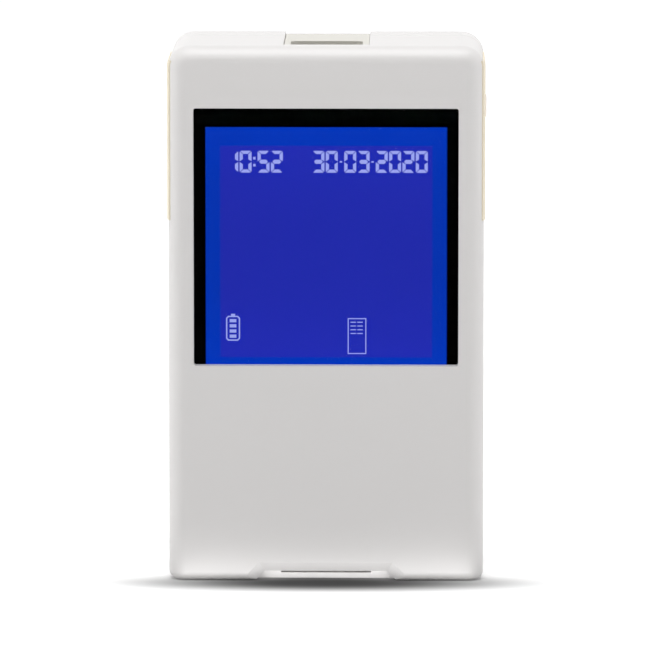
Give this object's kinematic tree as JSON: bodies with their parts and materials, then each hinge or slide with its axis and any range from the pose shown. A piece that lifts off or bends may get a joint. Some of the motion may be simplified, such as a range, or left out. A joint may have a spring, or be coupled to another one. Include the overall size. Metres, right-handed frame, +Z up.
{
  "type": "blood clotting meter",
  "caption": "Hand-held blood clotting meter standing upright, with a large blue screen, a strip slot in its base, a charging well on top and a push button on each side.",
  "frame": {"origin": "middle of the base, midway between the front face and the rear feet", "axes": "+Z up along the case, the screen faces -Y, +X to the viewer's right"},
  "size_m": [0.066, 0.035, 0.111],
  "materials": {
    "shell_white": "fine satin white",
    "trim_sand": "satin pale sand",
    "insert_grey": "satin warm grey",
    "button_white": "satin off-white",
    "clear_window": "clear polished",
    "black_mask": "printed black",
    "display_blue": "lit blue",
    "backlight_white": "light guide",
    "frame_black": "moulded black",
    "seal_foam": "closed foam",
    "board_green": "solder mask",
    "chip_black": "moulded chip",
    "nickel": "nickel plate",
    "steel": "zinc plated",
    "spring_steel": "rolled",
    "rubber_grey": "moulded",
    "guide_black": "moulded black",
    "ceramic_white": "heater plate",
    "lens_glass": "polished",
    "lamp_yellow": "lamp body",
    "infrared_red": "dark filter",
    "diffuser_white": "translucent",
    "battery_wrap": "wrapped cell",
    "cell_steel": "coin cell"
  },
  "bodies": {
    "case": {"front_shell": "shell_white", "rear_shell": "shell_white", "display_window": "clear_window", "window_gasket": "seal_foam", "window_mask": "black_mask", "display_active_area": "display_blue", "display_glass": "display_blue", "display_backlight": "backlight_white", "display_frame": "frame_black", "display_connector": "frame_black", "main_board": "board_green", "case_screws": "steel", "board_screws": "steel", "rear_feet": "rubber_grey", "right_trim": "trim_sand", "left_trim": "trim_sand", "top_insert": "insert_grey", "charging_socket": "nickel", "infrared_window": "infrared_red", "infrared_transceiver": "chip_black", "strip_guide": "guide_black", "heater_plate": "ceramic_white", "strip_leaf_spring": "spring_steel", "image_sensor": "chip_black", "lens_holder": "frame_black", "lens_barrel": "frame_black", "lens_element": "lens_glass", "lighting_board": "board_green", "strip_lamps": "lamp_yellow", "lamp_diffuser": "diffuser_white", "lever_pin": "steel", "strip_switch": "chip_black", "enter_switch": "chip_black", "configuration_switch": "chip_black", "shield_can": "nickel", "processor": "chip_black", "charge_controller": "chip_black", "battery_connector": "frame_black", "buzzer": "chip_black", "clock_cell_holder": "frame_black", "clock_cell": "cell_steel", "battery_tray": "frame_black", "battery_foam_pad": "seal_foam", "battery_pack": "battery_wrap"},
    "enter_key": {"enter_button": "button_white", "enter_plunger": "guide_black"},
    "configuration_key": {"configuration_button": "button_white", "configuration_plunger": "guide_black"},
    "strip_sensing_lever": {"strip_lever": "guide_black"}
  },
  "joints": [
    {"name": "enter_press", "type": "slide", "parent": "case", "child": "enter_key", "axis": [-1, 0, 0], "range_m": [0, 0.0005], "stiffness_N_per_m": 3000},
    {"name": "configuration_press", "type": "slide", "parent": "case", "child": "configuration_key", "axis": [1, 0, 0], "range_m": [0, 0.0005], "stiffness_N_per_m": 3000},
    {"name": "strip_lever_turn", "type": "hinge", "parent": "case", "child": "strip_sensing_lever", "pos_m": [0, -0.0099, 0.0304], "axis": [1, 0, 0], "range_deg": [0, 8], "stiffness_Nm_per_rad": 0.01}
  ]
}
